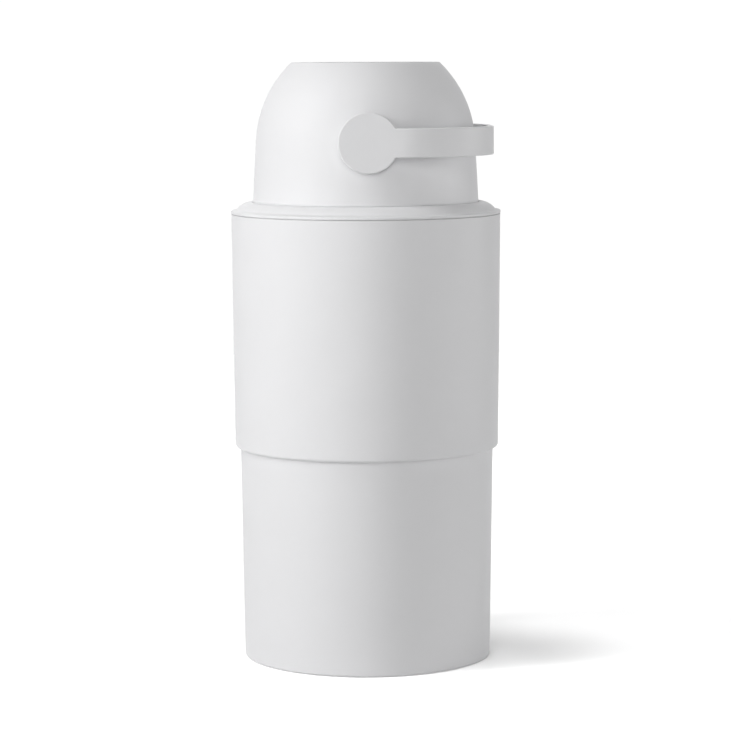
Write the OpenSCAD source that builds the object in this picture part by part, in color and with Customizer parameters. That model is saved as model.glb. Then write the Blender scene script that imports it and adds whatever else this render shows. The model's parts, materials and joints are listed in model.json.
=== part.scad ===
// Nappy bin: a round tub with a telescoping sleeve, and a domed head that holds a turning drum.
// Millimetres, +Z up, origin on the floor at the middle of the base. The handle's pivot lies along Y.

/* [Tub] */
// Outside radius of the tub at the floor
tub_r = 124.7; // [118:0.1:132]
// Height of the tub that shows below the sleeve
tub_show = 214; // [180:1:250]
// Draft of the tub's wall, in degrees
tub_draft = 0.82; // [0.4:0.02:1]
// Wall thickness of the tub
tub_wall = 2.4; // [2:0.1:3]
// Thickness of the tub's floor
tub_floor = 2.8; // [2:0.1:4]
// Depth of the hollow under the floor
base_recess = 3; // [2:0.1:5]
// Width of the ring that stands round that hollow
base_ring_w = 8; // [6:0.5:12]
// Rounding of the tub's lower edge
base_edge_r = 2.5; // [1:0.5:3]
// Height of the flange round the tub's top
tub_flange_h = 7; // [6:0.5:10]

/* [Feet] */
// Number of rubber feet
foot_count = 4; // [3:1:8]
// Radius of a rubber foot
foot_r = 9; // [6:0.5:12]
// Distance of a foot's edge from the standing ring
foot_inset = 2; // [1:0.5:20]
// How far the feet stand out below the tub's edge
foot_proud = 0.6; // [0.4:0.1:1.5]
// Depth of a foot's pocket in the floor
foot_pocket = 0.8; // [0.4:0.1:1.2]
// Angle of the first foot from the +X axis, in degrees
foot_angle = 45; // [0:5:90]

/* [Sleeve] */
// Height of the sleeve
sleeve_h = 234.8; // [200:0.1:270]
// Draft of the sleeve's wall, in degrees
sleeve_draft = 0.49; // [0.3:0.01:1]
// Wall thickness of the sleeve
sleeve_wall = 2.5; // [2:0.1:3.2]
// Space between the tub's outside and the sleeve's inside at the sleeve's lower end
sleeve_space = 2.8; // [2.6:0.1:4]
// Thickness of the lip round the sleeve's lower end
lip_t = 3; // [2:0.1:4]
// Rounding of the sleeve's lower edge
lip_edge_r = 3; // [1:0.5:3]
// Chamfer of the sleeve's upper edge
sleeve_top_cut = 0.4; // [0.3:0.1:1]
// Height of the ledge that carries the liner ring
ledge_h = 2.2; // [1.6:0.1:4]
// How far that ledge stands in from the wall
ledge_w = 3.6; // [3:0.1:5]

/* [Liner ring] */
// Inside radius of the liner ring
ring_in_r = 112; // [104:0.5:118]
// Thickness of the liner ring
ring_t = 2.4; // [1.8:0.1:3]
// Depth of the skirt that the bag is folded over
ring_skirt_h = 18; // [10:1:30]

/* [Collar] */
// Height of the collar above the sleeve's edge
collar_rise = 11.9; // [10:0.1:14]
// Radius of the collar's rounded shoulder
shoulder_r = 20; // [17:0.1:24]
// Width of the flat round the dome, inside that shoulder
shoulder_flat = 0.6; // [0.3:0.1:2]
// Height of the collar's outer edge
collar_edge_h = 2.8; // [1:0.1:4]
// Slope of the collar's outer face, in degrees
collar_slope = 16; // [12:1:26]
// How far the collar's edge stands out past the sleeve's outside
collar_proud = 0.3; // [0:0.1:1]
// Wall thickness of the collar
collar_wall = 2.4; // [1.8:0.1:2.8]
// Depth of the spigot that enters the sleeve
spigot_h = 12; // [10:0.5:18]
// Wall thickness of the spigot
spigot_wall = 4; // [3.6:0.1:5]
// Width of the collar's inner flange, where the dome stands
seat_w = 15; // [13:0.5:18]
// Thickness of that flange
seat_t = 2.5; // [2:0.1:3]
// Depth of the dome's foot below the collar's top
foot_sink = 3.3; // [2.5:0.1:4]

/* [Dome] */
// Wall thickness of the dome
dome_wall = 2.6; // [2:0.1:3]
// Depth of the cradle's bowl below its flange
cradle_depth = 7.7; // [5:0.1:10]
// Height of the rim above the drum's end face
rim_above_drum = 1; // [0.6:0.1:3]
// How far the centre of the dome's arc lies beyond the axis
dome_arc_back = 6.2; // [0:0.1:12]
// How far the centre of the dome's arc lies below the pivot
dome_arc_drop = 6.7; // [2:0.1:10]
// Lean of the dome's lower wall, in degrees
dome_lean = 2.9; // [1:0.1:4]
// Radius of the pads that carry the pivot bushes
pad_r = 21; // [20:0.5:24]

/* [Drum] */
// Radius of the drum's round outside
drum_r = 102.5; // [100:0.5:106]
// Width of the drum's end face round its bore
drum_end_w = 6.72; // [5:0.02:9]
// Wall thickness of the drum
drum_wall = 2.4; // [2:0.1:3]
// Radius of the drum's bore
bore_r = 61.5; // [56:0.5:62]
// How far the lips at the bore's ends stand in
bore_lip_w = 3.5; // [2.5:0.1:5]
// Thickness of those lips
bore_lip_t = 2.5; // [2:0.1:3.5]
// Depth of the flats on the drum's poles
pole_cut = 3; // [2.9:0.1:4]
// Radius of the bosses that hold the axles
boss_r = 15; // [14:0.5:18]
// Length of the axle's square tail inside the drum
tail_len = 12; // [8:0.5:14]
// Height of the end rings' rims, which hold the bore tube's ends
tube_rim_h = 8; // [5:0.5:14]
// Thickness of those rims
tube_rim_t = 2; // [1.5:0.1:2.6]
// Height of the tongue where the drum's halves meet
tongue_h = 5; // [3:0.5:8]
// Thickness of that tongue
tongue_t = 2; // [1.6:0.1:3]

/* [Pivot] */
// Radius of the axle's journal
journal_r = 11; // [9:0.5:11]
// Wall thickness of a bush
bush_wall = 2.5; // [2:0.1:3]
// Radius of the bush's flange
bush_flange_r = 18.5; // [17:0.5:19]
// Thickness of the bush's flange
bush_flange_t = 2.4; // [2:0.1:3]
// Radius of the axle's shoulder
shoulder_out_r = 14; // [13:0.5:14]
// Thickness of the axle's shoulder
shoulder_t = 2.5; // [2:0.1:3]
// Side of the axle's square tail
tail_side = 16; // [14:0.5:17]
// Side of the axle's square head, which turns with the handle
head_side = 14; // [13:0.5:14.5]
// Depth of the handle's socket for that head
socket_depth = 3.2; // [2.5:0.1:4]
// Half of the angle that the stop lug takes up, in degrees
lug_half = 10; // [7:1:14]
// Running clearance of a journal in its bush
running = 0.05; // [0.03:0.01:0.08]

/* [Handle] */
// Space for fingers between the dome and the handle's band
grip_gap = 11.46; // [9:0.02:16]
// Thickness of the handle's band
band_t = 5.8; // [4.5:0.1:7]
// Width of the handle's band
band_h = 28.2; // [24:0.2:34]
// Outer radius of the band's two corners
band_corner_r = 97.6; // [80:0.2:104]
// Radius of the discs at the pivot
disc_r = 29.6; // [26:0.2:32]
// Clearance of the discs from the dome
disc_gap = 0.8; // [0.6:0.1:2]
// Radius of the stub that enters the hollow axle
stub_r = 4.5; // [4:0.1:4.8]
// Length of that stub
stub_len = 18; // [14:1:20]
// Length of the shallow mark on the front disc
mark_len = 22; // [12:1:30]
// Width of that mark
mark_w = 4.6; // [3:0.2:8]
// Depth of that mark
mark_depth = 0.3; // [0.2:0.1:0.6]

/* [Piston] */
// Height of the piston between the bore's lips
piston_h = 46; // [40:1:56]
// Wall thickness of the piston
piston_wall = 2.2; // [2:0.1:3]
// Height of the steel weight
weight_h = 16; // [10:1:20]
// Height of a piston seal
piston_seal_h = 3; // [2:0.1:4]
// Depth of a piston seal in its groove
piston_seal_w = 2; // [1.6:0.1:2.4]
// Distance of each piston seal from the piston's middle
piston_seal_off = 14; // [8:1:16]
// Number of screws through the piston
piston_screw_count = 3; // [2:1:6]
// Radius of the circle on which the piston's screws lie
piston_screw_pitch = 47; // [45:0.5:50]

/* [Seals] */
// Thickness of the drum's seals
seal_t = 1.8; // [1.2:0.1:2.5]
// Length of the drum's seals along the drum
seal_len = 7; // [5:0.5:7.5]
// Height of the head gasket's section
gasket_h = 3; // [2:0.1:4]
// Width of the head gasket's section
gasket_w = 2.6; // [2:0.1:3]
// Height of the slide seal's section
slide_seal_h = 3; // [2:0.1:4]
// Width of the slide seal's section
slide_seal_w = 2; // [1.6:0.1:2.4]

/* [Screws] */
// Number of screws under the head
head_screw_count = 6; // [3:1:8]
// Radius of a screw's shank
screw_r = 2; // [1.5:0.1:2.2]
// Radius of a screw's head
screw_head_r = 3.6; // [3:0.1:3.8]
// Height of a screw's head
screw_head_h = 2.2; // [1.6:0.1:2.6]
// Radius of the posts that the head's screws enter
post_r = 5; // [4.4:0.1:6]
// Height of those posts
post_h = 24; // [16:1:28]
// How far a screw enters its post
screw_bite = 12; // [8:1:14]

/* [Clearances] */
// Gap between pieces that rest on or slide along each other
slide_gap = 0.3; // [0.2:0.05:0.5]
// Gap round the sleeve's lip, and round the spigot
wide_gap = 0.45; // [0.35:0.05:0.6]
// Shadow gap between the sleeve's edge and the collar
shadow_gap = 0.3; // [0.2:0.1:0.8]
// Gap between pieces of one assembly that fit into each other
fit_gap = 0.1; // [0.05:0.05:0.15]

/* [Hidden] */
$fn = 120;

// Colours, as the bin's white plastic, grey rubber and steel
white = [0.86, 0.86, 0.87];
soft_white = [0.8, 0.8, 0.81];
rubber_grey = [0.35, 0.35, 0.36];
steel = [0.62, 0.63, 0.65];

// A cut runs past the surface that it opens by this much
over = 1;

// Radii of the tub's and the sleeve's walls at a height
function tub_out(z) = tub_r + z * tan(tub_draft);
function sleeve_in(z) = tub_out(sleeve_z0) + sleeve_space + (z - sleeve_z0) * tan(sleeve_draft);
function sleeve_out(z) = sleeve_in(z) + sleeve_wall;

// Heights up the bin
floor_top = base_recess + tub_floor;
foot_pitch = tub_out(0) - base_ring_w - foot_r - foot_inset;
sleeve_z0 = tub_show;
flange_z0 = sleeve_z0 + lip_t + slide_gap;
tub_h = flange_z0 + tub_flange_h;
sleeve_z1 = sleeve_z0 + sleeve_h;
collar_z0 = sleeve_z1 + shadow_gap;
collar_z1 = collar_z0 + collar_rise;
spigot_z0 = collar_z0 - spigot_h;
ring_z1 = spigot_z0 - slide_gap;
ring_z0 = ring_z1 - ring_t;
ledge_z1 = ring_z0 - slide_gap;
drum_end_r = bore_r + drum_end_w;
drum_half = sqrt(drum_r * drum_r - drum_end_r * drum_end_r);
rim_rise = drum_half + rim_above_drum;
seat_z1 = collar_z1 - foot_sink;
seat_z0 = seat_z1 - seat_t;
cradle_z0 = seat_z0 - seat_t;
pivot_z = cradle_z0 - cradle_depth + rim_rise;
rim_z = pivot_z + rim_rise;

// The tub's flange, the ring's edge and the spigot follow the sleeve's inside
flange_r = sleeve_in(flange_z0) - wide_gap;
ring_out_r = sleeve_in(ring_z0) - wide_gap;
spigot_out_r = sleeve_in(spigot_z0) - wide_gap;
spigot_in_r = spigot_out_r - spigot_wall;
gasket_z = spigot_z0 + (spigot_h - gasket_h) / 2;
collar_r = sleeve_out(sleeve_z1) + collar_proud;

// The dome's inner arc clears the drum's seal at the rim, and its wall follows that arc
seat_r = drum_r + slide_gap + seal_t + fit_gap;
mouth_r = sqrt(seat_r * seat_r - rim_rise * rim_rise);
dome_in_arc = norm([mouth_r + dome_arc_back, rim_rise + dome_arc_drop]);
dome_out_arc = dome_in_arc + dome_wall;
function skirt_top_z(arc) = pivot_z - dome_arc_drop + arc * sin(dome_lean);
function skirt_top_r(arc) = arc * cos(dome_lean) - dome_arc_back;
function skirt_r(arc, z) = skirt_top_r(arc) + (skirt_top_z(arc) - z) * tan(dome_lean);

// The collar's hole takes the dome's foot, and its inner flange lies below that foot
hole_r = skirt_r(dome_out_arc, seat_z1) + wide_gap;
seat_in_r = hole_r - seat_w;
post_pitch = skirt_r(dome_in_arc, seat_z1) - post_r + dome_wall / 2;

// Places along the pivot, as distances from the bin's middle
pole_flat = drum_r - pole_cut;
bush_z0 = pole_flat + shoulder_t + slide_gap;
pad_z0 = bush_z0 + bush_flange_t;
disc_z0 = skirt_r(dome_out_arc, pivot_z - disc_r) + disc_gap;
disc_z1 = disc_z0 + band_t;
tail_end = pole_flat - tail_len;
bush_r = journal_r + bush_wall;
stub_end = disc_z0 - stub_len;
stub_root = (band_t - socket_depth) / 2;
axle_end_t = 4;
stop_slack = 1;
stop_in_r = shoulder_out_r + 2 * slide_gap;
stop_out_r = bush_flange_r - slide_gap;
lug_root_r = (journal_r + shoulder_out_r) / 2;

// The piston's places, as heights above the pivot
piston_r = bore_r - 2 * slide_gap;
piston_z0 = bore_lip_t + slide_gap - drum_half;
piston_mid = piston_z0 + piston_h / 2;
piston_end_r = bore_r - bore_lip_w - 2 * slide_gap;
piston_well_h = screw_head_h + bore_lip_t;
pedestal_r = 28;
pedestal_t = 3;

// The drum's halves and its bore tube end under the end rings, and the tongue fits inside the upper half
end_ring_z0 = drum_half - bore_lip_t;
tube_out_r = bore_r + drum_wall;
tube_half = end_ring_z0 - fit_gap / 2;
drum_in_r = drum_r - drum_wall;
tongue_r = sqrt(drum_in_r * drum_in_r - tongue_h * tongue_h) - fit_gap;
tail_hole = tail_side + 2 * fit_gap;

// The handle's band passes the dome at the width of the finger space
handle_reach = skirt_r(dome_out_arc, pivot_z) + grip_gap + band_t;

// Points along an arc, for the outline of a rounded edge
function arc(cx, cy, r, from, to, steps = 6) =
    [for (i = [0 : steps]) let (a = from + (to - from) * i / steps) [cx + r * cos(a), cy + r * sin(a)]];

// Copies what it holds at equal angles round the bin's axis
module around(count, radius, start = 0) {
    for (i = [0 : count - 1])
        rotate([0, 0, start + 360 * i / count])
            translate([radius, 0, 0])
                children();
}

// Turns +Z into the outward direction of the front pivot, with +Y up, at the pivot's height
module at_front() {
    translate([0, 0, pivot_z])
        rotate([90, 0, 0])
            children();
}

module at_rear() {
    mirror([0, 1, 0])
        at_front()
            children();
}

module at_pivots() {
    at_front()
        children();
    at_rear()
        children();
}

// A screw with its head below the origin and its shank along +Z
module screw(length) {
    cylinder(r = screw_r, h = length);
    translate([0, 0, -screw_head_h])
        cylinder(r = screw_head_r, h = screw_head_h);
}

// A ring of rectangular section
module ring(inner, outer, z0, z1) {
    translate([0, 0, z0])
        difference() {
            cylinder(r = outer, h = z1 - z0);
            translate([0, 0, -over])
                cylinder(r = inner, h = z1 - z0 + 2 * over);
        }
}

module tub() {
    ring_in = tub_out(0) - base_ring_w;
    groove_r = flange_r + wide_gap - slide_gap - slide_seal_w;
    groove_z = flange_z0 + (tub_flange_h - slide_seal_h) / 2;
    edge_z = foot_proud + base_edge_r;
    color(white)
        difference() {
            rotate_extrude()
                polygon(concat(
                    [[0, base_recess], [ring_in, base_recess], [ring_in, foot_proud]],
                    arc(tub_out(edge_z) - base_edge_r, edge_z, base_edge_r, -90, 0),
                    [[tub_out(flange_z0), flange_z0], [flange_r, flange_z0]],
                    [[flange_r, groove_z], [groove_r, groove_z]],
                    [[groove_r, groove_z + slide_seal_h], [flange_r, groove_z + slide_seal_h]],
                    [[flange_r, tub_h], [tub_out(tub_h) - tub_wall, tub_h]],
                    [[tub_out(floor_top) - tub_wall, floor_top], [0, floor_top]]
                ));
            around(foot_count, foot_pitch, foot_angle)
                translate([0, 0, base_recess - over])
                    cylinder(r = foot_r + fit_gap, h = foot_pocket + over);
        }
}

module rubber_feet() {
    color(rubber_grey)
        around(foot_count, foot_pitch, foot_angle)
            cylinder(r = foot_r, h = base_recess + foot_pocket);
}

module slide_seal() {
    z0 = flange_z0 + (tub_flange_h - slide_seal_h) / 2;
    outer = flange_r + wide_gap - slide_gap;
    color(rubber_grey)
        ring(outer - slide_seal_w, outer, z0 + fit_gap / 2, z0 + slide_seal_h - fit_gap / 2);
}

module sleeve() {
    lip_r = tub_out(sleeve_z0) + wide_gap;
    edge_z = sleeve_z0 + lip_edge_r;
    color(white)
        rotate_extrude()
            polygon(concat(
                [[lip_r, sleeve_z0]],
                arc(sleeve_out(edge_z) - lip_edge_r, edge_z, lip_edge_r, -90, 0),
                [[sleeve_out(sleeve_z1), sleeve_z1 - sleeve_top_cut]],
                [[sleeve_out(sleeve_z1) - sleeve_top_cut, sleeve_z1], [sleeve_in(sleeve_z1), sleeve_z1]],
                [[sleeve_in(ledge_z1), ledge_z1], [sleeve_in(ledge_z1) - ledge_w, ledge_z1]],
                [[sleeve_in(ledge_z1) - ledge_w, ledge_z1 - ledge_h]],
                [[sleeve_in(ledge_z1 - ledge_h - ledge_w), ledge_z1 - ledge_h - ledge_w]],
                [[sleeve_in(sleeve_z0 + lip_t), sleeve_z0 + lip_t], [lip_r, sleeve_z0 + lip_t]]
            ));
}

module liner_ring() {
    color(soft_white) {
        ring(ring_in_r, ring_out_r, ring_z0, ring_z1);
        ring(ring_in_r, ring_in_r + ring_t, ring_z0 - ring_skirt_h, ring_z0);
    }
}

// Section of the collar: the rounded shoulder, the sloped edge, the spigot and the dome's seat
module collar_section() {
    shoulder_x = hole_r + shoulder_flat;
    shoulder_z = collar_z1 - shoulder_r;
    lip_in = hole_r + collar_wall;
    slope_top = collar_z0 + collar_edge_h + (collar_r - hole_r) * tan(collar_slope);
    difference() {
        union() {
            intersection() {
                translate([shoulder_x, shoulder_z])
                    circle(r = shoulder_r);
                translate([hole_r, collar_z0])
                    square([collar_r - hole_r, collar_rise + over]);
            }
            polygon([
                [hole_r, collar_z0], [collar_r, collar_z0], [collar_r, collar_z0 + collar_edge_h],
                [hole_r, slope_top]
            ]);
            translate([spigot_in_r, spigot_z0])
                square([spigot_wall, spigot_h + over]);
        }
        intersection() {
            union() {
                translate([shoulder_x, shoulder_z])
                    circle(r = shoulder_r - collar_wall);
                translate([lip_in, spigot_z0 - over])
                    square([spigot_in_r - lip_in, shoulder_z - spigot_z0 + over]);
            }
            translate([lip_in, spigot_z0 - over])
                square([spigot_in_r - lip_in, spigot_h + collar_rise + over]);
        }
        translate([hole_r - over, collar_z0 - over])
            square([collar_wall + 2 * over, seat_z0 - collar_z0 + over]);
        translate([spigot_out_r - gasket_w + slide_gap, gasket_z])
            square([gasket_w + over, gasket_h]);
    }
    translate([seat_in_r, seat_z0])
        square([hole_r + collar_wall - seat_in_r, seat_t]);
}

module collar() {
    color(white)
        difference() {
            rotate_extrude()
                collar_section();
            around(head_screw_count, post_pitch)
                translate([0, 0, seat_z0 - over])
                    cylinder(r = screw_r + fit_gap, h = seat_t + 2 * over);
        }
}

module head_gasket() {
    inner = spigot_out_r - gasket_w + slide_gap + fit_gap / 2;
    outer = sleeve_in(gasket_z) - slide_gap;
    color(rubber_grey)
        ring(inner, outer, gasket_z + fit_gap / 2, gasket_z + gasket_h - fit_gap / 2);
}

module cradle() {
    cradle_r = hole_r - slide_gap;
    color(soft_white)
        difference() {
            rotate_extrude()
                difference() {
                    union() {
                        intersection() {
                            translate([0, pivot_z])
                                circle(r = seat_r + seat_t);
                            translate([0, pivot_z - rim_rise])
                                square([cradle_r, seat_z0 - pivot_z + rim_rise]);
                        }
                        translate([seat_r / 2, cradle_z0])
                            square([cradle_r - seat_r / 2, seat_t]);
                    }
                    translate([0, pivot_z])
                        circle(r = seat_r);
                }
            around(head_screw_count, post_pitch)
                translate([0, 0, cradle_z0 - over])
                    cylinder(r = screw_r + fit_gap, h = seat_t + 2 * over);
        }
}

// Section of a drum seal: a strip that lies along the drum at the rim's angle
module seal_section() {
    rim_angle = atan2(rim_rise, mouth_r);
    back = seal_len / 2 + fit_gap;
    along = rim_angle - asin(back / seat_r);
    rotate([0, 0, along])
        translate([drum_r + slide_gap, -seal_len / 2])
            square([seal_t, seal_len]);
}

module upper_seal() {
    color(rubber_grey)
        translate([0, 0, pivot_z])
            rotate_extrude()
                seal_section();
}

module lower_seal() {
    color(rubber_grey)
        translate([0, 0, pivot_z])
            mirror([0, 0, 1])
                rotate_extrude()
                    seal_section();
}

// Filled section of the dome within an arc's radius
module dome_section(arc_r, top) {
    joint_z = skirt_top_z(arc_r);
    intersection() {
        translate([-dome_arc_back, pivot_z - dome_arc_drop])
            circle(r = arc_r);
        translate([0, joint_z])
            square([arc_r, top - joint_z]);
    }
    polygon([
        [0, seat_z1], [skirt_r(arc_r, seat_z1), seat_z1], [skirt_top_r(arc_r), joint_z], [0, joint_z]
    ]);
}

module dome() {
    boss_len = skirt_top_r(dome_out_arc) - pad_z0 + over;
    color(white)
        difference() {
            rotate_extrude()
                dome_section(dome_out_arc, rim_z);
            difference() {
                union() {
                    rotate_extrude()
                        dome_section(dome_in_arc, rim_z + over);
                    translate([0, 0, seat_z1 - over])
                        cylinder(r = skirt_r(dome_in_arc, seat_z1), h = over);
                }
                at_pivots()
                    translate([0, 0, pad_z0])
                        cylinder(r = pad_r, h = boss_len);
                around(head_screw_count, post_pitch)
                    translate([0, 0, seat_z1])
                        cylinder(r = post_r, h = post_h);
            }
            at_pivots()
                translate([0, 0, pad_z0 - over])
                    cylinder(r = bush_r + fit_gap, h = boss_len + 2 * over);
            around(head_screw_count, post_pitch)
                translate([0, 0, seat_z1 - over])
                    cylinder(r = screw_r + fit_gap, h = screw_bite + 2 * over);
        }
}

// A flanged bush with a stop sector below the axle, in the pivot's own frame
module bush() {
    stop_from = 180 + lug_half + stop_slack;
    stop_sweep = 180 - 2 * (lug_half + stop_slack);
    difference() {
        union() {
            translate([0, 0, bush_z0])
                cylinder(r = bush_flange_r, h = bush_flange_t);
            translate([0, 0, bush_z0])
                cylinder(r = bush_r, h = disc_z0 - slide_gap - bush_z0);
            translate([0, 0, pole_flat + slide_gap])
                rotate([0, 0, stop_from])
                    rotate_extrude(angle = stop_sweep)
                        translate([stop_in_r, 0])
                            square([stop_out_r - stop_in_r, bush_z0 - pole_flat]);
        }
        translate([0, 0, bush_z0 - over])
            cylinder(r = journal_r + running, h = disc_z0 - bush_z0 + 2 * over);
    }
}

module bush_front() {
    color(soft_white)
        at_front()
            bush();
}

module bush_rear() {
    color(soft_white)
        at_rear()
            bush();
}

module head_screws() {
    color(steel)
        around(head_screw_count, post_pitch)
            translate([0, 0, cradle_z0])
                screw(2 * seat_t + screw_bite);
}

// Section of the drum's round shell, from its middle up to its end ring
module drum_section() {
    intersection() {
        difference() {
            circle(r = drum_r);
            circle(r = drum_in_r);
        }
        square([drum_r, end_ring_z0 - fit_gap / 2]);
    }
}

// The drum's upper end ring about the drum's centre: its flat face with the lip, and the tube's rim
module end_ring() {
    rotate_extrude() {
        intersection() {
            circle(r = drum_r);
            translate([bore_r - bore_lip_w, end_ring_z0])
                square([drum_r, bore_lip_t]);
        }
        translate([tube_out_r + fit_gap, end_ring_z0 - tube_rim_h])
            square([tube_rim_t, tube_rim_h + bore_lip_t / 2]);
    }
}

// Turns +Z outwards along both ends of the pivot, about the drum's centre
module on_poles() {
    for (side = [90, -90])
        rotate([side, 0, 0])
            children();
}

// What the flats take off the drum's poles
module pole_cuts() {
    on_poles()
        translate([-drum_r, -drum_r, pole_flat])
            cube([2 * drum_r, 2 * drum_r, drum_r]);
}

// The drum's upper half about the drum's centre, with its half of each axle boss
module drum_shell() {
    difference() {
        union() {
            rotate_extrude()
                drum_section();
            intersection() {
                sphere(r = drum_r - drum_wall / 2);
                translate([-drum_r, -drum_r, 0])
                    cube([2 * drum_r, 2 * drum_r, boss_r + over]);
                on_poles()
                    translate([0, 0, tail_end])
                        cylinder(r = boss_r, h = tail_len + over);
            }
        }
        pole_cuts();
        on_poles()
            translate([-tail_hole / 2, -tail_hole / 2, tail_end - over])
                cube([tail_hole, tail_hole, tail_len + 2 * over]);
    }
}

module drum_upper() {
    color(soft_white)
        translate([0, 0, pivot_z])
            drum_shell();
}

module drum_lower() {
    color(soft_white)
        translate([0, 0, pivot_z]) {
            mirror([0, 0, 1])
                drum_shell();
            difference() {
                union() {
                    ring(tongue_r - tongue_t, drum_r - drum_wall / 2, -tongue_h, 0);
                    ring(tongue_r - tongue_t, tongue_r, -tongue_h, tongue_h);
                }
                pole_cuts();
                rotate([90, 0, 0])
                    translate([0, 0, -drum_r])
                        cylinder(r = boss_r + slide_gap, h = 2 * drum_r);
            }
        }
}

module end_ring_upper() {
    color(soft_white)
        translate([0, 0, pivot_z])
            end_ring();
}

module end_ring_lower() {
    color(soft_white)
        translate([0, 0, pivot_z])
            mirror([0, 0, 1])
                end_ring();
}

module drum_tube() {
    color(soft_white)
        translate([0, 0, pivot_z])
            ring(bore_r, tube_out_r, -tube_half, tube_half);
}

// A hollow axle in the pivot's own frame: square tail, shoulder with stop lug, journal, square head
module axle() {
    difference() {
        union() {
            translate([-tail_side / 2, -tail_side / 2, tail_end])
                cube([tail_side, tail_side, tail_len]);
            translate([0, 0, pole_flat])
                cylinder(r = shoulder_out_r, h = shoulder_t);
            translate([0, 0, pole_flat])
                rotate([0, 0, -lug_half])
                    rotate_extrude(angle = 2 * lug_half)
                        translate([lug_root_r, 0])
                            square([stop_out_r - lug_root_r, shoulder_t]);
            translate([0, 0, pole_flat])
                cylinder(r = journal_r, h = disc_z0 - pole_flat);
            translate([-head_side / 2, -head_side / 2, pole_flat])
                cube([head_side, head_side, disc_z0 + socket_depth - fit_gap - pole_flat]);
        }
        translate([0, 0, tail_end + axle_end_t])
            cylinder(r = stub_r + fit_gap, h = disc_z1 - tail_end);
        translate([0, 0, tail_end - over])
            cylinder(r = screw_r + fit_gap, h = axle_end_t + 2 * over);
    }
}

module axle_front() {
    color(soft_white)
        at_front()
            axle();
}

module axle_rear() {
    color(soft_white)
        at_rear()
            axle();
}

module axle_screws() {
    length = stub_end + screw_bite - tail_end;
    color(steel)
        at_pivots()
            translate([0, 0, tail_end])
                screw(length);
}

// One end of the handle in the pivot's own frame: the disc with its socket, and the stub
module handle_end() {
    socket_side = head_side + 2 * fit_gap;
    difference() {
        union() {
            difference() {
                translate([0, 0, disc_z0])
                    cylinder(r = disc_r, h = band_t);
                translate([-socket_side / 2, -socket_side / 2, disc_z0 - over])
                    cube([socket_side, socket_side, socket_depth + over]);
            }
            translate([0, 0, stub_end])
                cylinder(r = stub_r, h = stub_len + socket_depth + stub_root);
        }
        translate([0, 0, stub_end - over])
            cylinder(r = screw_r + fit_gap, h = screw_bite + 2 * over);
    }
}

// The shallow mark on the front disc, a bare slot with round ends
module handle_mark() {
    straight = mark_len - mark_w;
    translate([-straight / 2, -mark_w / 2, disc_z1 - mark_depth])
        cube([straight, mark_w, mark_depth + over]);
    for (side = [-1, 1])
        translate([side * straight / 2, 0, disc_z1 - mark_depth])
            cylinder(r = mark_w / 2, h = mark_depth + over);
}

// A quarter turn of the band, round the bin's axis from +X to +Y
module band_corner() {
    rotate_extrude(angle = 90)
        translate([band_corner_r - band_t, -band_h / 2])
            square([band_t, band_h]);
}

module handle() {
    corner_x = handle_reach - band_corner_r;
    corner_y = disc_z1 - band_corner_r;
    arm_x = disc_r / 2;
    color(white)
        difference() {
            union() {
                at_pivots()
                    handle_end();
                translate([0, 0, pivot_z]) {
                    for (side = [0, 1])
                        mirror([0, side, 0]) {
                            translate([arm_x, disc_z0, -band_h / 2])
                                cube([corner_x - arm_x, band_t, band_h]);
                            translate([corner_x, corner_y, 0])
                                band_corner();
                        }
                    translate([handle_reach - band_t, -corner_y, -band_h / 2])
                        cube([band_t, 2 * corner_y, band_h]);
                }
            }
            at_front()
                handle_mark();
        }
}

// Lower half of the piston about its middle: floor, wall with the seal's groove, posts and pedestal
module piston_half() {
    end_t = bore_lip_t + slide_gap;
    half = piston_h / 2;
    groove_z = -piston_seal_off - piston_seal_h / 2;
    groove_r = piston_r - piston_seal_w;
    rotate_extrude()
        polygon([
            [0, -half - end_t], [piston_end_r, -half - end_t], [piston_end_r, -half], [piston_r, -half],
            [piston_r, groove_z], [groove_r, groove_z],
            [groove_r, groove_z + piston_seal_h], [piston_r, groove_z + piston_seal_h],
            [piston_r, 0], [piston_end_r - piston_wall, 0], [piston_end_r - piston_wall, -half], [0, -half]
        ]);
    around(piston_screw_count, piston_screw_pitch)
        translate([0, 0, -half - end_t / 2])
            cylinder(r = post_r, h = half + end_t / 2);
    translate([0, 0, -half - end_t / 2])
        difference() {
            cylinder(r = pedestal_r + pedestal_t, h = half + end_t / 2 - weight_h / 2);
            cylinder(r = pedestal_r, h = half + end_t);
        }
}

module piston_lower() {
    bottom = -piston_h / 2 - bore_lip_t - slide_gap;
    color(soft_white)
        translate([0, 0, pivot_z + piston_mid])
            difference() {
                piston_half();
                around(piston_screw_count, piston_screw_pitch) {
                    translate([0, 0, bottom - over])
                        cylinder(r = screw_head_r + fit_gap, h = piston_well_h + over);
                    translate([0, 0, bottom])
                        cylinder(r = screw_r + fit_gap, h = piston_h);
                }
            }
}

module piston_upper() {
    color(soft_white)
        translate([0, 0, pivot_z + piston_mid])
            difference() {
                mirror([0, 0, 1])
                    piston_half();
                around(piston_screw_count, piston_screw_pitch)
                    translate([0, 0, -over])
                        cylinder(r = screw_r + fit_gap, h = screw_bite + 2 * over);
            }
}

module piston_weight() {
    color(steel)
        translate([0, 0, pivot_z + piston_mid - weight_h / 2 + fit_gap / 2])
            cylinder(r = piston_screw_pitch - post_r - slide_gap, h = weight_h - fit_gap);
}

module piston_seals() {
    inner = piston_r - piston_seal_w + fit_gap / 2;
    half_h = (piston_seal_h - fit_gap) / 2;
    color(rubber_grey)
        translate([0, 0, pivot_z + piston_mid])
            for (side = [-1, 1])
                translate([0, 0, side * piston_seal_off])
                    ring(inner, bore_r - slide_gap, -half_h, half_h);
}

module piston_screws() {
    head_top = piston_well_h - piston_h / 2 - bore_lip_t - slide_gap;
    color(steel)
        translate([0, 0, pivot_z + piston_mid])
            around(piston_screw_count, piston_screw_pitch)
                translate([0, 0, head_top])
                    screw(screw_bite - head_top);
}

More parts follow.
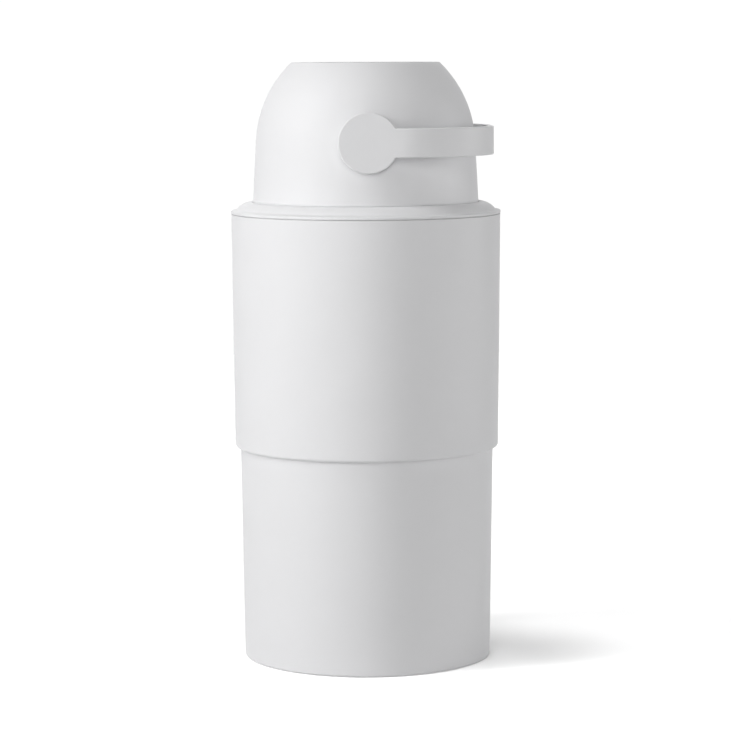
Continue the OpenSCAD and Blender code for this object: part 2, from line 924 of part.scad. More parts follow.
tub();
rubber_feet();
slide_seal();
sleeve();
liner_ring();
collar();
head_gasket();
cradle();
lower_seal();
dome();
upper_seal();
bush_front();
bush_rear();
head_screws();
drum_upper();
drum_lower();
end_ring_upper();
end_ring_lower();
drum_tube();
axle_front();
axle_rear();
axle_screws();
handle();
piston_upper();
piston_lower();
piston_weight();
piston_seals();
piston_screws();
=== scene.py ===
"""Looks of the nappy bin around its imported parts: shells, handle, finishes, floor, lamps and camera.

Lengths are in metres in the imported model's frame: +Z goes up the bin's axis, the pivot lies along Y,
and the handle's grip points to +X.
"""

import json
from math import atan2, cos, pi, radians, sin, sqrt, tan, tau

import bmesh
import bpy
from mathutils import Matrix, Vector


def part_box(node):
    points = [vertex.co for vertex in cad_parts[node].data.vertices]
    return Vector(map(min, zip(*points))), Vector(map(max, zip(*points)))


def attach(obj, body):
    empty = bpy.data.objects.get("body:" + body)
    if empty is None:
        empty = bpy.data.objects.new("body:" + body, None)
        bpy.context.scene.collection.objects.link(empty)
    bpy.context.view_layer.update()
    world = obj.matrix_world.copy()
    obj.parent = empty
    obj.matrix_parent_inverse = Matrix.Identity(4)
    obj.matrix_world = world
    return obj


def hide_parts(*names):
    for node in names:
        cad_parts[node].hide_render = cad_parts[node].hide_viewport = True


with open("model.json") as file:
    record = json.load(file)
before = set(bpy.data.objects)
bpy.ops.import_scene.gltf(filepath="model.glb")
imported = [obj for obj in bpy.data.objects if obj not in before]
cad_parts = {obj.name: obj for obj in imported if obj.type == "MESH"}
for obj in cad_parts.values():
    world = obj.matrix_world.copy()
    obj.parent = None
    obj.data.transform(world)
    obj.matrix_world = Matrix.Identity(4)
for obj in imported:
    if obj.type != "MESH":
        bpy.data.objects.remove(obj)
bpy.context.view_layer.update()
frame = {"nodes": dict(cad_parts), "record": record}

# Clearances
SLIDE_GAP = 0.0003
WIDE_GAP = 0.00045
SHADOW_GAP = 0.00045

# Roundings that several pieces share
FINE_EDGE = 0.0004
SOFT_EDGE = 0.0009
EASED_EDGE = 0.0003

# Limits for mesh work: the angles of sharp and flat edges, and the lengths that count as nothing
SHARP = radians(35)
FLAT = radians(0.5)
TINY = 1e-7
WELD = 1e-6

# Steps that curves are drawn in
TURNS = 288
ROD_TURNS = 64
PAD_TURNS = 96
FLOOR_TURNS = 96
EDGE_STEPS = 4
SHOULDER_STEPS = 12
UNDERSIDE_STEPS = 8
FLARE_STEPS = 8
DOME_STEPS = 48
DISC_STEPS = 48
NECK_STEPS = 8
BEND_STEPS = 48
BAND_EDGE_STEPS = 5
MARK_STEPS = 16

# Tub and sleeve
TUB_DRAFT = tan(radians(0.82))
TUB_R = 0.1247
TUB_WALL = 0.0024
TUB_FLOOR = 0.0058
TUB_FLOOR_R = 0.005
BASE_RECESS = 0.003
BASE_RING_W = 0.008
BASE_EDGE = 0.0025
FLANGE_H = 0.007
SEAL_DEPTH = 0.002
SLEEVE_DRAFT = tan(radians(0.49))
SLEEVE_WALL = 0.0025
LIP_T = 0.003
LIP_EDGE = 0.003
LEDGE_W = 0.0036
LEDGE_H = 0.0022
RING_T = 0.0024

# Collar
SHOULDER_R = 0.02
SHOULDER_FLAT = 0.0006
HOLE_EDGE = 0.0006
COLLAR_EDGE_H = 0.0028
COLLAR_EDGE_R = 0.0014
COLLAR_SLOPE = tan(radians(16))
CREASE_R = 0.0015
COLLAR_WALL = 0.0024
SPIGOT_WALL = 0.004
GASKET_W = 0.0026
SEAT_W = 0.015
SEAT_T = 0.0025

# Dome
DOME_WALL = 0.0026
DOME_BACK = 0.0062
DOME_DROP = 0.0067
DOME_LEAN = radians(2.9)
FOOT_LINE = 0.0005
FLARE_R = 0.003
FLARE_SWEEP = radians(42)
PAD_R = 0.021
PAD_DEPTH = 0.1047
BUSH_HOLE_R = 0.0136
POST_R = 0.005
POST_H = 0.024
SCREW_HOLE_R = 0.0021
SCREW_COUNT = 6

# Handle
BAND_T = 0.0058
BAND_H = 0.0282
BEND_R = 0.0976
NECK_FILLET = 0.003
OUTER_EDGE = 0.0012
INNER_EDGE = 0.0007
STUB_R = 0.0045
STUB_LEN = 0.018
MARK_LEN = 0.022
MARK_W = 0.0046
MARK_DEPTH = 0.0003

# Places taken from the frame
tub_low, tub_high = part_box("tub")
sleeve_low, sleeve_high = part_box("sleeve")
collar_low, collar_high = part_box("collar")
dome_low, dome_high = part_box("dome")
handle_low, handle_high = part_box("handle")
slide_seal_low, slide_seal_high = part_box("slide_seal")
gasket_low, gasket_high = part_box("head_gasket")
_, ring_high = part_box("liner_ring")
pivot_z = (handle_low.z + handle_high.z) / 2

# Course of the handle's outer face from the front pivot: straight, round the bend, and half the grip
bend_x = handle_high.x - BEND_R
bend_y = handle_high.y - BEND_R
bend_len = BEND_R * pi / 2
band_middle = bend_x + bend_len + bend_y


def tub_out(z):
    return TUB_R + z * TUB_DRAFT


def sleeve_out(z):
    return sleeve_high.x + (z - sleeve_high.z) * SLEEVE_DRAFT


def sleeve_in(z):
    return sleeve_out(z) - SLEEVE_WALL


def arc_points(centre, radius, start, end, steps):
    """Points (x, y, no rounding) along an arc, its ends included."""
    angles = [start + (end - start) * i / steps for i in range(steps + 1)]
    return [(centre[0] + radius * cos(a), centre[1] + radius * sin(a), 0) for a in angles]


def rounded(corners):
    """A closed outline from corners (x, y, rounding), with holding points beside each rounding."""
    points = []
    for i, (x, y, radius) in enumerate(corners):
        here = Vector((x, y))
        if not radius:
            points.append(here)
            continue
        back = Vector(corners[i - 1][:2]) - here
        ahead = Vector(corners[(i + 1) % len(corners)][:2]) - here
        half = back.angle(ahead) / 2
        reach = radius / tan(half)
        hold = reach + 2 * radius
        back_way, ahead_way = back.normalized(), ahead.normalized()
        centre = here + (back_way + ahead_way).normalized() * radius / sin(half)
        start = here + back_way * reach - centre
        end = here + ahead_way * reach - centre
        start_angle = atan2(start.y, start.x)
        sweep = (atan2(end.y, end.x) - start_angle + pi) % tau - pi
        if back.length > 2 * hold:
            points.append(here + back_way * hold)
        for step in range(EDGE_STEPS + 1):
            angle = start_angle + sweep * step / EDGE_STEPS
            points.append(centre + Vector((cos(angle), sin(angle))) * radius)
        if ahead.length > 2 * hold:
            points.append(here + ahead_way * hold)
    return points


def smooth(mesh):
    """Shades a mesh smooth between its sharp edges."""
    mesh.shade_smooth()
    mesh.set_sharp_from_angle(angle=SHARP)


def new_piece(name, shape):
    """An object in the scene with a smooth mesh from a bmesh, its faces turned outwards."""
    bmesh.ops.remove_doubles(shape, verts=shape.verts, dist=TINY)
    bmesh.ops.recalc_face_normals(shape, faces=shape.faces)
    mesh = bpy.data.meshes.new(name)
    shape.to_mesh(mesh)
    shape.free()
    smooth(mesh)
    piece = bpy.data.objects.new(name, mesh)
    bpy.context.scene.collection.objects.link(piece)
    return piece


def even_normals(piece):
    """Lets the large faces of a piece shade flat or truly round beside their rounded edges."""
    change = piece.modifiers.new("normals", "WEIGHTED_NORMAL")
    change.keep_sharp = True
    change.weight = 100


def revolve(name, outline, turns=TURNS, place=Matrix.Identity(4)):
    """A solid turned about Z from a closed outline of (radius, height) points, then set in place."""
    shape = bmesh.new()
    rings = []
    for radius, height in outline:
        if radius < TINY:
            rings.append([shape.verts.new((0, 0, height))] * turns)
            continue
        angles = [tau * i / turns for i in range(turns)]
        rings.append([shape.verts.new((radius * cos(a), radius * sin(a), height)) for a in angles])
    for near, far in zip(rings, rings[1:] + rings[:1]):
        for i in range(turns):
            j = (i + 1) % turns
            corners = list(dict.fromkeys([near[i], near[j], far[j], far[i]]))
            if len(corners) > 2:
                shape.faces.new(corners)
    shape.transform(place)
    return new_piece(name, shape)


def rod(radius, low, high, place, turns=ROD_TURNS):
    """A plain tool body for cuts and bosses."""
    return revolve("rod", [(0, low), (radius, low), (radius, high), (0, high)], turns, place)


def mend(mesh):
    """Welds the points that a cut leaves doubled, and closes the slits that it opens."""
    shape = bmesh.new()
    shape.from_mesh(mesh)
    bmesh.ops.remove_doubles(shape, verts=shape.verts, dist=WELD)
    slits = [edge for edge in shape.edges if len(edge.link_faces) == 1]
    bmesh.ops.holes_fill(shape, edges=slits, sides=0)
    loose = [edge for edge in shape.edges if not edge.link_faces]
    bmesh.ops.delete(shape, geom=loose, context="EDGES")
    bmesh.ops.recalc_face_normals(shape, faces=shape.faces)
    shape.to_mesh(mesh)
    shape.free()
    smooth(mesh)


def combine(piece, tools, operation):
    """Cuts the tool bodies from a piece, or joins them to it, and removes them."""
    for tool in tools:
        change = piece.modifiers.new("change", "BOOLEAN")
        change.operation = operation
        change.solver = "EXACT"
        change.object = tool
        bpy.context.view_layer.update()
        evaluated = piece.evaluated_get(bpy.context.evaluated_depsgraph_get())
        mesh = bpy.data.meshes.new_from_object(evaluated)
        piece.modifiers.clear()
        piece.data = mesh
        bpy.data.objects.remove(tool)
    mend(piece.data)
    return piece


def eased(node):
    """A copy of a CAD node's solid with its sharp edges rounded."""
    shape = bmesh.new()
    shape.from_mesh(node.data)
    bmesh.ops.remove_doubles(shape, verts=shape.verts, dist=WELD)
    bmesh.ops.dissolve_limit(shape, angle_limit=FLAT, verts=shape.verts, edges=shape.edges)
    sharp = [edge for edge in shape.edges if edge.calc_face_angle(0) > SHARP]
    style = {"segments": 2, "profile": 0.5, "affect": "EDGES", "clamp_overlap": True}
    bmesh.ops.bevel(shape, geom=sharp, offset=EASED_EDGE, **style)
    return new_piece(node.name + "_eased", shape)


def at_pivot(side):
    """Turns +Z into the outward direction of the front (-1) or rear (1) pivot."""
    return Matrix.Translation((0, 0, pivot_z)) @ Matrix.Rotation(-side * pi / 2, 4, "X")


def around(count, radius):
    """Places at equal angles on a circle round the bin's axis."""
    angles = [tau * i / count for i in range(count)]
    return [Matrix.Translation((radius * cos(a), radius * sin(a), 0)) for a in angles]


def make_tub():
    ring_in = TUB_R - BASE_RING_W
    flange_z = tub_high.z - FLANGE_H
    groove_r = slide_seal_high.x - SEAL_DEPTH
    low_z, flange_r = tub_low.z, tub_high.x
    outline = rounded([
        (0, BASE_RECESS, 0),
        (ring_in, BASE_RECESS, SOFT_EDGE),
        (ring_in, low_z, SOFT_EDGE),
        (tub_out(low_z), low_z, BASE_EDGE),
        (tub_out(flange_z), flange_z, FINE_EDGE),
        (flange_r, flange_z, FINE_EDGE),
        (flange_r, slide_seal_low.z, 0),
        (groove_r, slide_seal_low.z, 0),
        (groove_r, slide_seal_high.z, 0),
        (flange_r, slide_seal_high.z, 0),
        (flange_r, tub_high.z, FINE_EDGE),
        (tub_out(tub_high.z) - TUB_WALL, tub_high.z, FINE_EDGE),
        (tub_out(TUB_FLOOR) - TUB_WALL, TUB_FLOOR, TUB_FLOOR_R),
        (0, TUB_FLOOR, 0),
    ])
    return revolve("tub_shell", outline)


def make_sleeve():
    low_z, high_z = sleeve_low.z, sleeve_high.z
    lip_r = tub_out(low_z) + WIDE_GAP
    ledge_z = ring_high.z - RING_T - SLIDE_GAP
    ledge_r = sleeve_in(ledge_z) - LEDGE_W
    outline = rounded([
        (lip_r, low_z, FINE_EDGE),
        (sleeve_out(low_z), low_z, LIP_EDGE),
        (sleeve_out(high_z), high_z, FINE_EDGE),
        (sleeve_in(high_z), high_z, FINE_EDGE),
        (sleeve_in(ledge_z), ledge_z, 0),
        (ledge_r, ledge_z, FINE_EDGE),
        (ledge_r, ledge_z - LEDGE_H, FINE_EDGE),
        (sleeve_in(ledge_z - LEDGE_H - LEDGE_W), ledge_z - LEDGE_H - LEDGE_W, 0),
        (sleeve_in(low_z + LIP_T), low_z + LIP_T, 0),
        (lip_r, low_z + LIP_T, FINE_EDGE),
    ])
    return revolve("sleeve_shell", outline)


def make_collar():
    low_z, top_z, edge_r = collar_low.z, collar_high.z, collar_high.x
    edge_z = sleeve_high.z + SHADOW_GAP
    slope_end = Vector((edge_r, edge_z + COLLAR_EDGE_H))
    hole_r = dome_high.x + WIDE_GAP
    wall_r = hole_r + COLLAR_WALL
    seat_r, seat_z = hole_r - SEAT_W, dome_low.z
    spigot_r = sleeve_in(low_z) - WIDE_GAP
    spigot_in = spigot_r - SPIGOT_WALL
    gasket_in = spigot_r - GASKET_W + SLIDE_GAP
    shoulder = Vector((hole_r + SHOULDER_FLAT, top_z - SHOULDER_R))
    under_r = SHOULDER_R - COLLAR_WALL

    def above_slope(angle):
        """How far a point of the shoulder's arc stands above the sloped face."""
        x, z = shoulder.x + SHOULDER_R * cos(angle), shoulder.y + SHOULDER_R * sin(angle)
        return z - slope_end.y - (slope_end.x - x) * COLLAR_SLOPE

    def under_angle(radius):
        """Where the arc under the shoulder stands at a radius from the bin's axis."""
        across = radius - shoulder.x
        return atan2(sqrt(under_r ** 2 - across ** 2), across)

    quarter_degrees = [radians(90 - i / 4) for i in range(360)]
    meet = next(a for a in quarter_degrees if above_slope(a) < 0)
    upper = arc_points(shoulder, SHOULDER_R, radians(90), meet, SHOULDER_STEPS)
    crease_x, crease_z, _ = upper.pop()
    under = arc_points(shoulder, under_r, under_angle(spigot_in), under_angle(wall_r), UNDERSIDE_STEPS)
    outline = rounded([
        (hole_r, seat_z, 0),
        (hole_r, top_z, HOLE_EDGE),
        *upper,
        (crease_x, crease_z, CREASE_R),
        (*slope_end, COLLAR_EDGE_R),
        (edge_r, edge_z, HOLE_EDGE),
        (spigot_r, edge_z, 0),
        (spigot_r, gasket_high.z, 0),
        (gasket_in, gasket_high.z, 0),
        (gasket_in, gasket_low.z, 0),
        (spigot_r, gasket_low.z, 0),
        (spigot_r, low_z, SOFT_EDGE),
        (spigot_in, low_z, FINE_EDGE),
        *under,
        (wall_r, seat_z - SEAT_T, 0),
        (seat_r, seat_z - SEAT_T, FINE_EDGE),
        (seat_r, seat_z, FINE_EDGE),
    ])
    return revolve("collar_shell", outline)


def flared_foot(wall_r):
    """Points of the short curve that flares the dome's wall out just above the collar."""
    low_z = collar_high.z + FOOT_LINE
    high_z = low_z + FLARE_R * sin(FLARE_SWEEP)
    centre = (wall_r(high_z) + FLARE_R, high_z)
    return [(wall_r(low_z), low_z, 0), *arc_points(centre, FLARE_R, pi + FLARE_SWEEP, pi, FLARE_STEPS)]


def dome_outline(arc_r, low_z, high_z, rim_edge=0, flared=False):
    """Outline of a filled dome: its wall leans in, then follows one arc up to the flat cut."""
    centre = (-DOME_BACK, pivot_z - DOME_DROP)
    join_z = centre[1] + arc_r * sin(DOME_LEAN)
    join_r = arc_r * cos(DOME_LEAN) - DOME_BACK

    def wall_r(z):
        return join_r + (join_z - z) * tan(DOME_LEAN)

    foot = flared_foot(wall_r) if flared else []
    rim_angle = atan2(high_z - centre[1], sqrt(arc_r ** 2 - (high_z - centre[1]) ** 2))
    wall = arc_points(centre, arc_r, DOME_LEAN, rim_angle, DOME_STEPS)
    rim_x, rim_z, _ = wall.pop()
    rim = [(rim_x, rim_z, rim_edge), (0, high_z, 0)]
    return rounded([(0, low_z, 0), (wall_r(low_z), low_z, 0), *foot, *wall, *rim])


def make_dome():
    """A filled dome less its hollow, in which bosses and screw posts are left standing."""
    foot_z, rim_z = dome_low.z, dome_high.z
    centre_z = pivot_z - DOME_DROP
    outer_arc = (dome_high.x + DOME_BACK - (centre_z - foot_z) * tan(DOME_LEAN)) * cos(DOME_LEAN)
    inner_arc = outer_arc - DOME_WALL
    dome = revolve("dome_shell", dome_outline(outer_arc, foot_z, rim_z, SOFT_EDGE, flared=True))
    hollow = revolve("hollow", dome_outline(inner_arc, foot_z - DOME_WALL, rim_z + DOME_WALL))
    # The posts stand half a wall's thickness into the wall
    post_ring = dome_high.x - DOME_WALL - POST_R + DOME_WALL / 2
    posts = around(SCREW_COUNT, post_ring)
    pad_end = outer_arc + DOME_WALL
    bosses = [rod(PAD_R, PAD_DEPTH, pad_end, at_pivot(side), PAD_TURNS) for side in (-1, 1)]
    bosses += [rod(POST_R, foot_z, foot_z + POST_H, place) for place in posts]
    combine(hollow, bosses, "DIFFERENCE")
    holes = [rod(BUSH_HOLE_R, PAD_DEPTH - DOME_WALL, outer_arc, at_pivot(side)) for side in (-1, 1)]
    holes += [rod(SCREW_HOLE_R, foot_z - DOME_WALL, foot_z + POST_H / 2, place) for place in posts]
    return combine(dome, [hollow, *holes], "DIFFERENCE")


def band_place(along, depth, height):
    """Where a point of the handle lies: along its outer face from the front pivot, inwards, and up."""
    side = -1 if along < band_middle else 1
    s = along if side < 0 else 2 * band_middle - along
    if s < bend_x:
        x, y = s, handle_high.y - depth
    elif s < bend_x + bend_len:
        turn = (s - bend_x) / BEND_R
        radius = BEND_R - depth
        x, y = bend_x + radius * sin(turn), bend_y + radius * cos(turn)
    else:
        x, y = handle_high.x - depth, band_middle - s
    return Vector((x, side * y, pivot_z + height))


def handle_side():
    """Stations (along, half height, normal) from the front disc's far edge to the band's middle."""
    disc_r = (handle_high.z - handle_low.z) / 2
    half_h = BAND_H / 2
    neck_x = sqrt((disc_r + NECK_FILLET) ** 2 - (half_h + NECK_FILLET) ** 2)
    neck_angle = atan2(half_h + NECK_FILLET, neck_x)
    stations = []
    for i in range(DISC_STEPS + 1):
        a = pi + (neck_angle - pi) * i / DISC_STEPS
        stations.append((disc_r * cos(a), disc_r * sin(a), cos(a), sin(a)))
    for i in range(1, NECK_STEPS + 1):
        a = pi + neck_angle + (pi / 2 - neck_angle) * i / NECK_STEPS
        along, high = neck_x + NECK_FILLET * cos(a), half_h + NECK_FILLET * (1 + sin(a))
        stations.append((along, high, -cos(a), -sin(a)))
    for i in range(1, BEND_STEPS + 1):
        stations.append((bend_x + bend_len * i / BEND_STEPS, half_h, 0, 1))
    stations.append((band_middle, half_h, 0, 1))
    return stations


def band_section():
    """How far in from the outline, and how deep, the handle's rounded edges run."""
    quarter = [pi / 2 * i / BAND_EDGE_STEPS for i in range(BAND_EDGE_STEPS + 1)]
    outer = [(OUTER_EDGE * (1 - sin(a)), OUTER_EDGE * (1 - cos(a))) for a in quarter]
    inner = [(INNER_EDGE * (1 - cos(a)), BAND_T - INNER_EDGE * (1 - sin(a))) for a in quarter]
    return outer + inner


def make_handle():
    """The U-shaped band with a disc at each end, bent from one flat outline with rounded edges."""
    half = handle_side()
    stations = half + [(2 * band_middle - s, h, -ns, nh) for s, h, ns, nh in reversed(half[:-1])]
    section = band_section()
    shape = bmesh.new()
    rows = {}
    for way in (1, -1):
        rows[way] = []
        for s, h, ns, nh in stations:
            places = [band_place(s - ns * inset, depth, way * (h - nh * inset)) for inset, depth in section]
            rows[way].append([shape.verts.new(place) for place in places])
        for near, far in zip(rows[way], rows[way][1:]):
            for k in range(len(section) - 1):
                shape.faces.new([near[k], near[k + 1], far[k + 1], far[k]])
    for i in range(len(stations) - 1):
        for k in (0, -1):
            shape.faces.new([rows[1][i][k], rows[1][i + 1][k], rows[-1][i + 1][k], rows[-1][i][k]])
    handle = new_piece("handle_band", shape)
    face_y = handle_high.y
    stub = (face_y - BAND_T - STUB_LEN, face_y - BAND_T / 2)
    stubs = [rod(STUB_R, *stub, at_pivot(side)) for side in (-1, 1)]
    combine(handle, stubs, "UNION")
    return combine(handle, [mark_tool()], "DIFFERENCE")


def mark_tool():
    """A slot with round ends that stands through the front disc's outer face."""
    shape = bmesh.new()
    straight = (MARK_LEN - MARK_W) / 2
    outline = []
    for centre, start in ((straight, -pi / 2), (-straight, pi / 2)):
        for i in range(MARK_STEPS + 1):
            a = start + pi * i / MARK_STEPS
            outline.append((centre + MARK_W / 2 * cos(a), pivot_z + MARK_W / 2 * sin(a)))
    face_y = -handle_high.y
    for y in (face_y + MARK_DEPTH, face_y - MARK_DEPTH):
        shape.faces.new([shape.verts.new((x, y, z)) for x, z in outline])
    shape.verts.ensure_lookup_table()
    verts = shape.verts
    count = len(outline)
    for i in range(count):
        j = (i + 1) % count
        shape.faces.new([verts[i], verts[j], verts[count + j], verts[count + i]])
    return new_piece("mark", shape)


def add_node(tree, kind, inputs=None, **settings):
    """A shader node with its settings and inputs: values are set, and other nodes' outputs are linked."""
    node = tree.nodes.new("ShaderNode" + kind)
    for name, value in settings.items():
        setattr(node, name, value)
    for name, value in (inputs or {}).items():
        if isinstance(value, bpy.types.NodeSocket):
            tree.links.new(value, node.inputs[name])
        else:
            node.inputs[name].default_value = value
    return node


def noise(tree, place, scale, detail):
    """Noise between 0 and 1, with features about 1 / scale metres wide."""
    inputs = {"Vector": place, "Scale": scale, "Detail": detail}
    return add_node(tree, "TexNoise", inputs).outputs["Fac"]


# The range that noise mostly keeps to
NOISE_LOW = 0.3
NOISE_HIGH = 0.7


def spread(tree, value, low, high):
    """Maps noise from its usual range to low and high."""
    inputs = {"Value": value, "From Min": NOISE_LOW, "From Max": NOISE_HIGH, "To Min": low, "To Max": high}
    return add_node(tree, "MapRange", inputs).outputs["Result"]


def stretched(tree, place, scale):
    """Coordinates scaled apart along X, Y and Z, for marks that run one way."""
    return add_node(tree, "Mapping", {"Vector": place, "Scale": scale}).outputs["Vector"]


def start_material(name):
    """A node material with one principled shader, and the piece's own coordinates."""
    material = bpy.data.materials.new(name)
    material.use_nodes = True
    tree = material.node_tree
    shader = next(n for n in tree.nodes if n.type == "BSDF_PRINCIPLED")
    place = add_node(tree, "TexCoord").outputs["Object"]
    return material, tree, shader, place


def tint(tree, shader, colour, tone):
    """Gives the shader a colour whose brightness follows a tone near 1."""
    scaled = add_node(tree, "VectorMath", {0: colour[:3], "Scale": tone}, operation="SCALE")
    tree.links.new(scaled.outputs["Vector"], shader.inputs["Base Color"])


def bump(tree, shader, layers):
    """Stacks bump layers (height, depth in metres, strength) and gives the shader their normal."""
    normal = None
    for height, depth, strength in layers:
        inputs = {"Height": height, "Distance": depth, "Strength": strength}
        if normal:
            inputs["Normal"] = normal
        normal = add_node(tree, "Bump", inputs).outputs["Normal"]
    tree.links.new(normal, shader.inputs["Normal"])


# Matt plastic: its grain scatters most of its shine, so its refraction is set low
PLASTIC_IOR = 1.3
ROUGH_SPREAD = 0.03
SHELL_ROUGH = 0.5
TOUCHED_ROUGH = 0.46
INNER_ROUGH = 0.42
SLIDE_MARKS = 0.04

# Features per metre: of the plastics' grain, and along X, Y and Z of marks that run one way
PLASTIC_GRAIN = 2600.0
INNER_GRAIN = 3400.0
STREAK_SCALE = (700.0, 700.0, 5.0)
TURNING_SCALE = (120.0, 120.0, 2400.0)

# How many times as wide as the grain the pebbles are
PEBBLE_WIDTH = 3

# Relief of the finishes: depth in metres and strength
WAVES = (0.00006, 0.35)
PEBBLE = (0.00003, 0.25)
GRIT = (0.00002, 0.35)
RUBBER_GRAIN = (0.00004, 0.5)
TURNING_MARKS = (0.00002, 0.3)


def plastic(name, colour, rough, grain=PLASTIC_GRAIN, slide_marks=0.0):
    """Moulded plastic: spark-eroded grain, slow waviness, faint tone changes and, if asked, slide marks."""
    material, tree, shader, place = start_material(name)
    tone = spread(tree, noise(tree, place, scale=14.0, detail=3.0), low=0.985, high=1.0)
    tint(tree, shader, colour, tone)
    patches = noise(tree, place, scale=45.0, detail=4.0)
    roughness = spread(tree, patches, low=rough - ROUGH_SPREAD, high=rough + ROUGH_SPREAD)
    if slide_marks:
        streaks = noise(tree, stretched(tree, place, STREAK_SCALE), scale=1.0, detail=3.0)
        worn = spread(tree, streaks, low=-slide_marks, high=slide_marks)
        roughness = add_node(tree, "Math", {0: roughness, 1: worn}, operation="ADD").outputs["Value"]
    tree.links.new(roughness, shader.inputs["Roughness"])
    shader.inputs["IOR"].default_value = PLASTIC_IOR
    grit = noise(tree, place, scale=grain, detail=2.0)
    pebble = noise(tree, place, scale=grain / PEBBLE_WIDTH, detail=1.0)
    waves = noise(tree, place, scale=30.0, detail=1.0)
    bump(tree, shader, [(waves, *WAVES), (pebble, *PEBBLE), (grit, *GRIT)])
    return material


def rubber(name, colour):
    """Soft matt rubber with a dusty grain."""
    material, tree, shader, place = start_material(name)
    dust = spread(tree, noise(tree, place, scale=160.0, detail=5.0), low=0.85, high=1.15)
    tint(tree, shader, colour, dust)
    roughness = spread(tree, noise(tree, place, scale=300.0, detail=3.0), low=0.7, high=0.9)
    tree.links.new(roughness, shader.inputs["Roughness"])
    bump(tree, shader, [(noise(tree, place, scale=1800.0, detail=3.0), *RUBBER_GRAIN)])
    return material


def zinc(name, colour):
    """Zinc-plated steel with a spangled sheen and fine turning marks."""
    material, tree, shader, place = start_material(name)
    shader.inputs["Metallic"].default_value = 1.0
    spangle = spread(tree, noise(tree, place, scale=420.0, detail=4.0), low=0.9, high=1.08)
    tint(tree, shader, colour, spangle)
    roughness = spread(tree, noise(tree, place, scale=700.0, detail=4.0), low=0.28, high=0.44)
    tree.links.new(roughness, shader.inputs["Roughness"])
    marks = noise(tree, stretched(tree, place, TURNING_SCALE), scale=1.0, detail=2.0)
    bump(tree, shader, [(marks, *TURNING_MARKS)])
    return material


def make_materials():
    colours = {entry["slot"]: entry["base_color"] for entry in frame["record"]["materials"]}
    shell, inner = colours["shell"], colours["inner"]
    return {
        "shell": plastic("shell_plastic", shell, SHELL_ROUGH),
        "shell_worn": plastic("tub_plastic", shell, SHELL_ROUGH, slide_marks=SLIDE_MARKS),
        "shell_touched": plastic("handle_plastic", shell, TOUCHED_ROUGH),
        "inner": plastic("inner_plastic", inner, INNER_ROUGH, grain=INNER_GRAIN),
        "rubber": rubber("seal_rubber", colours["rubber"]),
        "steel": zinc("zinc_steel", colours["steel"]),
    }


def dress(materials):
    """Makes each node's piece, gives it its finish and sets it on the node's body."""
    makers = {
        "tub": (make_tub, "shell_worn"),
        "sleeve": (make_sleeve, "shell"),
        "collar": (make_collar, "shell"),
        "dome": (make_dome, "shell"),
        "handle": (make_handle, "shell_touched"),
    }
    slots = {part["node"]: part["material_slot"] for part in frame["record"]["subparts"]}
    for body, names in frame["record"]["behaviour"]["bodies"].items():
        for name in names:
            if name in makers:
                make, finish = makers[name]
                piece = make()
            else:
                piece, finish = eased(frame["nodes"][name]), slots[name]
            even_normals(piece)
            piece.data.materials.clear()
            piece.data.materials.append(materials[finish])
            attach(piece, body)
            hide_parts(name)


# Floor: its own grey, the grey added where it is seen, and the reach and gain of its lifts to white, the
# first of which paints shade round a spot right of the base
FLOOR_R = 3.0
FLOOR_COLOUR = 0.8
SHOWN_COLOUR = 0.58
# Painted shade: the glow stays low round this spot right of the base and rises away from it, darkening the
# cast shadow there and fading it out
PAINTED_SHADE_SPOT = (0.14, 0.01)
PAINTED_SHADE_REACH = (0.005, 0.16)
PAINTED_SHADE_LIFT = 0.4
FAR_REACH = (0.28, 1.3)
FAR_LIFT = 0.6


def seen_directly(tree):
    """1 for the rays that show a background: camera, glossy and transmission rays."""
    path = add_node(tree, "LightPath")
    seen = path.outputs["Is Camera Ray"]
    for kind in ("Is Glossy Ray", "Is Transmission Ray"):
        either = add_node(tree, "Math", {0: seen, 1: path.outputs[kind]}, operation="MAXIMUM")
        seen = either.outputs["Value"]
    return seen


def make_floor():
    """A pale disc that shows as white and keeps the object's shadow, with painted shade: its glow stays low
    round a spot right of the base, so the shadow shows darker there and fades out near the base.
    """
    shape = bmesh.new()
    bmesh.ops.create_circle(shape, cap_ends=True, segments=FLOOR_TURNS, radius=FLOOR_R)
    floor = new_piece("floor", shape)
    material, tree, shader, place = start_material("floor_white")
    tree.nodes.remove(shader)
    x, y = PAINTED_SHADE_SPOT
    from_painted_shade = add_node(tree, "Mapping", {"Vector": place, "Location": (-x, -y, 0)}).outputs["Vector"]
    lift = 0.0
    # The first lift is painted shade: low near the spot right of the base, rising to its gain away from it
    for where, (near, far), gain in ((from_painted_shade, PAINTED_SHADE_REACH, PAINTED_SHADE_LIFT), (place, FAR_REACH, FAR_LIFT)):
        distance = add_node(tree, "VectorMath", {0: where}, operation="LENGTH").outputs["Value"]
        ends = {"Value": distance, "From Min": near, "From Max": far, "To Max": gain}
        rise = add_node(tree, "MapRange", ends, interpolation_type="SMOOTHSTEP").outputs["Result"]
        lift = add_node(tree, "Math", {0: lift, 1: rise}, operation="ADD").outputs["Value"]
    greys = [(grey, grey, grey, 1) for grey in (FLOOR_COLOUR, SHOWN_COLOUR)]
    plain, added = [add_node(tree, "BsdfDiffuse", {"Color": grey}).outputs["BSDF"] for grey in greys]
    bright = add_node(tree, "AddShader", {0: plain, 1: added}).outputs["Shader"]
    glow = add_node(tree, "Emission", {"Strength": lift}).outputs["Emission"]
    shown = add_node(tree, "AddShader", {0: bright, 1: glow}).outputs["Shader"]
    both = add_node(tree, "MixShader", {"Fac": seen_directly(tree), 1: plain, 2: shown})
    output = next(n for n in tree.nodes if n.type == "OUTPUT_MATERIAL")
    tree.links.new(both.outputs["Shader"], output.inputs["Surface"])
    floor.data.materials.append(material)


# World: how strongly it lights the scene, and how strongly it shows
AMBIENT = 0.02
SHOWN_WORLD = 1.03


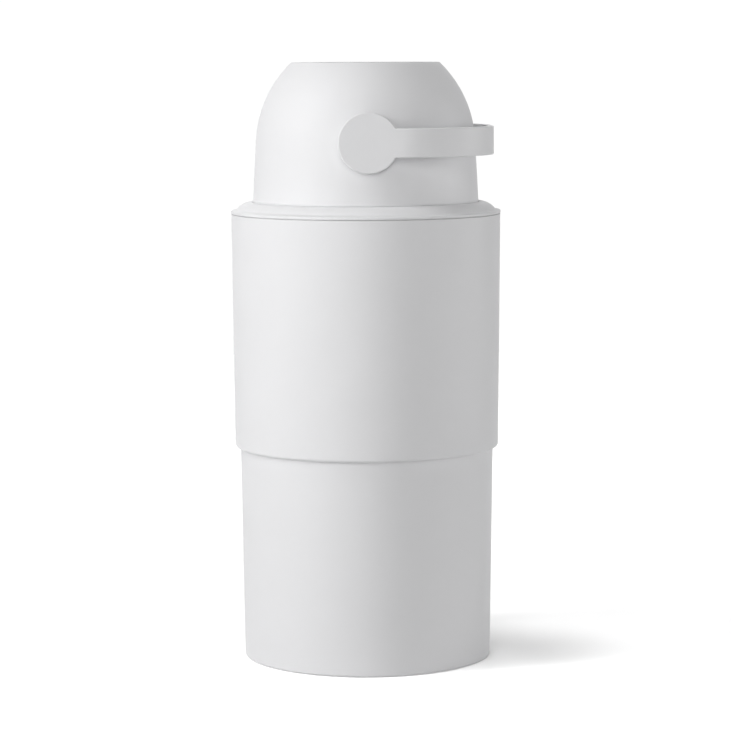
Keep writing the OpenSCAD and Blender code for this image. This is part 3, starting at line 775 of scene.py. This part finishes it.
def make_world():
    world = bpy.data.worlds.new("studio")
    world.use_nodes = True
    tree = world.node_tree
    background = next(n for n in tree.nodes if n.type == "BACKGROUND")
    background.inputs["Color"].default_value = (1, 1, 1, 1)
    ends = {"Value": seen_directly(tree), "To Min": AMBIENT, "To Max": SHOWN_WORLD}
    tree.links.new(add_node(tree, "MapRange", ends).outputs["Result"], background.inputs["Strength"])
    bpy.context.scene.world = world


# Round soft boxes: name, azimuth and elevation in degrees, size in metres and power in watts
AIM = Vector((0, 0, 0.35))
LAMP_DISTANCE = 2.2
LAMPS = [
    ("key", -72, 35, 0.4, 6.3),
    ("key_middle", -64, 20, 0.4, 10.2),
    ("key_high", -70, 50, 0.4, 5.2),
    ("key_low", -72, 5, 0.4, 5.4),
    ("front", 0, 30, 1.2, 10.7),
    ("front_low", -14, 5, 0.8, 4.8),
    ("side", 95, 5, 0.8, 12.2),
    ("top", 0, 80, 0.8, 5.4),
    ("back", 180, 45, 0.8, 8.0),
]


def make_lamps():
    """Stands each lamp at its azimuth from the bin: 0 is towards the camera, and + is to the right."""
    for name, azimuth, elevation, size, power in LAMPS:
        a, e = radians(azimuth), radians(elevation)
        way = Vector((sin(a) * cos(e), -cos(a) * cos(e), sin(e)))
        data = bpy.data.lights.new(name, "AREA")
        data.shape = "DISK"
        data.size = size
        data.energy = power
        lamp = bpy.data.objects.new(name, data)
        lamp.location = AIM + way * LAMP_DISTANCE
        lamp.rotation_euler = way.to_track_quat("Z", "Y").to_euler()
        bpy.context.scene.collection.objects.link(lamp)


# Camera: how the photograph sees the bin
CAMERA_DISTANCE = 2.9289
CAMERA_HEIGHT = 0.6072
CAMERA_ASIDE = -0.00045
CAMERA_TURN = radians(-1.4)
CAMERA_PITCH = radians(6.098)
CAMERA_ROLL = radians(0.234)
CAMERA_LENS = 143.25
CAMERA_SENSOR_W = 36
CLIP_NEAR = 0.1
CLIP_FAR = 50


def make_camera():
    data = bpy.data.cameras.new("camera")
    data.sensor_width = CAMERA_SENSOR_W
    data.lens = CAMERA_LENS
    data.clip_start = CLIP_NEAR
    data.clip_end = CLIP_FAR
    camera = bpy.data.objects.new("camera", data)
    stand = Matrix.Translation((CAMERA_ASIDE, -CAMERA_DISTANCE, CAMERA_HEIGHT))
    tilt = Matrix.Rotation(pi / 2 - CAMERA_PITCH, 4, "X") @ Matrix.Rotation(-CAMERA_ROLL, 4, "Z")
    camera.matrix_world = Matrix.Rotation(CAMERA_TURN, 4, "Z") @ stand @ tilt
    bpy.context.scene.collection.objects.link(camera)
    bpy.context.scene.camera = camera


dress(make_materials())
make_floor()
make_world()
make_lamps()
make_camera()
bpy.context.scene.view_settings.view_transform = "Standard"
